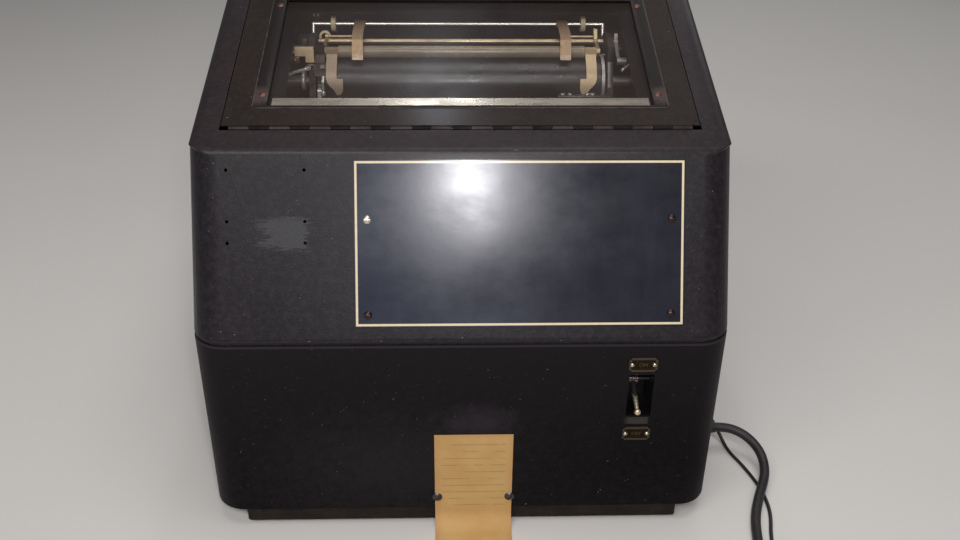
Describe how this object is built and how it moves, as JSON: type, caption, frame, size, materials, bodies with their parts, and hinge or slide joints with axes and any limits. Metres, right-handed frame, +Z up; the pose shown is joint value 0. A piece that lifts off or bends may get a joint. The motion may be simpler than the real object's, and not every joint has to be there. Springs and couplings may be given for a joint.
{
  "type": "teletype machine",
  "caption": "Page teleprinter in a black sheet-metal cover with a hinged window lid over its platen, roller and paper fingers, a front switch and coiled cords.",
  "frame": {"origin": "middle of the footprint, cords left out, on the surface the feet stand on", "axes": "+Z up, -Y to the front with the switch and the sign, +X to the right seen from the front"},
  "size_m": [0.58, 0.6534, 0.388],
  "materials": {
    "black_wrinkle": "black wrinkle enamel",
    "base_brown": "dusty dark brown enamel",
    "foot_rubber": "matte",
    "dark_steel": "darkened, satin",
    "steel": "satin, lightly worn",
    "bright_steel": "nickel plated",
    "frame_paint": "grey-black enamel",
    "sign_enamel": "gloss navy enamel with a cream border",
    "label_plate": "dark etched face, brass border",
    "bakelite": "black moulding",
    "card": "buff card with faint ruling",
    "window": "clear",
    "copper": "coppery, worn",
    "brass": "aged brass",
    "tan_metal": "dull tan plating",
    "cream_plastic": "yellowed cream",
    "platen_rubber": "smooth black",
    "grey_rubber": "grey, smooth",
    "motor_paint": "grey-black enamel",
    "cord_rubber": "smooth black",
    "cord_vinyl": "smooth black",
    "plug_plastic": "moulded black"
  },
  "bodies": {
    "machine": {"base_pan": "base_brown", "base_feet": "foot_rubber", "cover_skirt": "black_wrinkle", "cover_top": "black_wrinkle", "hinge_cover_leaf": "dark_steel", "hinge_pin": "steel", "sign_plate": "sign_enamel", "sign_screws": "copper", "switch_plates": "label_plate", "plate_rivets": "bright_steel", "switch_body": "bakelite", "info_card": "card", "card_screws": "dark_steel", "side_frame_left": "frame_paint", "side_frame_right": "frame_paint", "frame_tie_rods": "steel", "brass_brackets": "brass", "platen_guard": "bright_steel", "carriage_rails": "steel", "ribbon_brackets": "dark_steel", "spindle_brackets": "dark_steel", "motor": "motor_paint", "shaft_bearings": "frame_paint", "selector_unit": "copper", "bell_gong": "brass", "cord_glands": "cord_rubber", "power_cord": "cord_rubber", "power_coil": "cord_rubber", "power_plug": "plug_plastic", "signal_cord": "cord_vinyl", "signal_coil": "cord_vinyl", "signal_plug": "plug_plastic"},
    "lid": {"window_lid": "black_wrinkle", "window_glass": "window", "glass_strip": "bright_steel", "glass_screws": "copper", "hinge_lid_leaf": "dark_steel"},
    "switch_lever": {"switch_lever": "bright_steel"},
    "platen": {"platen": "platen_rubber", "platen_shaft": "steel", "line_feed_ratchet": "steel", "platen_hub": "brass", "platen_crank": "steel"},
    "finger_bail": {"finger_bar": "brass", "paper_fingers": "tan_metal", "release_lever": "bright_steel", "roller_arms": "brass"},
    "pressure_roller": {"pressure_roller": "grey_rubber"},
    "straightener": {"straightener_rod": "bright_steel", "straightener_collars": "cream_plastic", "guide_straps": "tan_metal"},
    "detent": {"detent_lever": "bright_steel"},
    "carriage": {"type_carriage": "dark_steel", "type_bars": "steel"},
    "spool_left": {"ribbon_spool_left": "steel"},
    "spool_right": {"ribbon_spool_right": "steel"},
    "rotor": {"motor_rotor": "steel"},
    "main_shaft": {"main_shaft": "steel"},
    "bell_hammer": {"bell_hammer": "steel"},
    "spindle": {"paper_spindle": "steel"}
  },
  "joints": [
    {"name": "lid_hinge", "type": "hinge", "parent": "machine", "child": "lid", "pos_m": [0, -0.12314, 0.32545], "axis": [1, 0, 0], "range_deg": [0, 105]},
    {"name": "switch_pivot", "type": "hinge", "parent": "machine", "child": "switch_lever", "pos_m": [0.1377, -0.191, 0.136], "axis": [-1, 0, 0], "range_deg": [0, 36]},
    {"name": "platen_turn", "type": "hinge", "parent": "machine", "child": "platen", "pos_m": [0.0015, 0.014, 0.3165], "axis": [1, 0, 0], "continuous": true},
    {"name": "finger_bail_lift", "type": "hinge", "parent": "machine", "child": "finger_bail", "pos_m": [0.0015, 0.035, 0.3463], "axis": [-1, 0, 0], "range_deg": [0, 12]},
    {"name": "pressure_roller_turn", "type": "hinge", "parent": "finger_bail", "child": "pressure_roller", "pos_m": [0.0015, 0.0115, 0.34399], "axis": [1, 0, 0], "continuous": true},
    {"name": "straightener_lift", "type": "hinge", "parent": "machine", "child": "straightener", "pos_m": [-0.00085, 0.047, 0.348], "axis": [-1, 0, 0], "range_deg": [0, 4]},
    {"name": "detent_swing", "type": "hinge", "parent": "machine", "child": "detent", "pos_m": [-0.1235, -0.004, 0.287], "axis": [1, 0, 0], "range_deg": [0, 8], "stiffness_Nm_per_rad": 0.05, "springref_deg": -5.73},
    {"name": "carriage_travel", "type": "slide", "parent": "machine", "child": "carriage", "axis": [1, 0, 0], "range_m": [-0.091, 0.091]},
    {"name": "ribbon_feed", "type": "hinge", "parent": "machine", "child": "spool_left", "pos_m": [-0.1025, -0.119, 0.2425], "axis": [0, 0, 1], "continuous": true},
    {"name": "ribbon_take_up", "type": "hinge", "parent": "machine", "child": "spool_right", "pos_m": [0.1055, -0.119, 0.2425], "axis": [0, 0, 1], "continuous": true},
    {"name": "main_shaft_turn", "type": "hinge", "parent": "machine", "child": "main_shaft", "pos_m": [0.067, 0.1145, 0.0915], "axis": [1, 0, 0], "continuous": true},
    {"name": "motor_turn", "type": "hinge", "parent": "machine", "child": "rotor", "pos_m": [-0.05, 0.164, 0.074], "axis": [1, 0, 0], "continuous": true},
    {"name": "bell_strike", "type": "hinge", "parent": "machine", "child": "bell_hammer", "pos_m": [-0.1425, 0.019, 0.16], "axis": [-1, 0, 0], "range_deg": [0, 5], "stiffness_Nm_per_rad": 0.02, "springref_deg": -11.46},
    {"name": "paper_roll_turn", "type": "hinge", "parent": "machine", "child": "spindle", "pos_m": [0.0015, 0.137, 0.29], "axis": [1, 0, 0], "continuous": true}
  ],
  "couplings": [
    {"joint": "pressure_roller_turn", "follows": "platen_turn", "ratio": -4.1509},
    {"joint": "ribbon_take_up", "follows": "ribbon_feed", "ratio": 1},
    {"joint": "motor_turn", "follows": "main_shaft_turn", "ratio": -4}
  ]
}
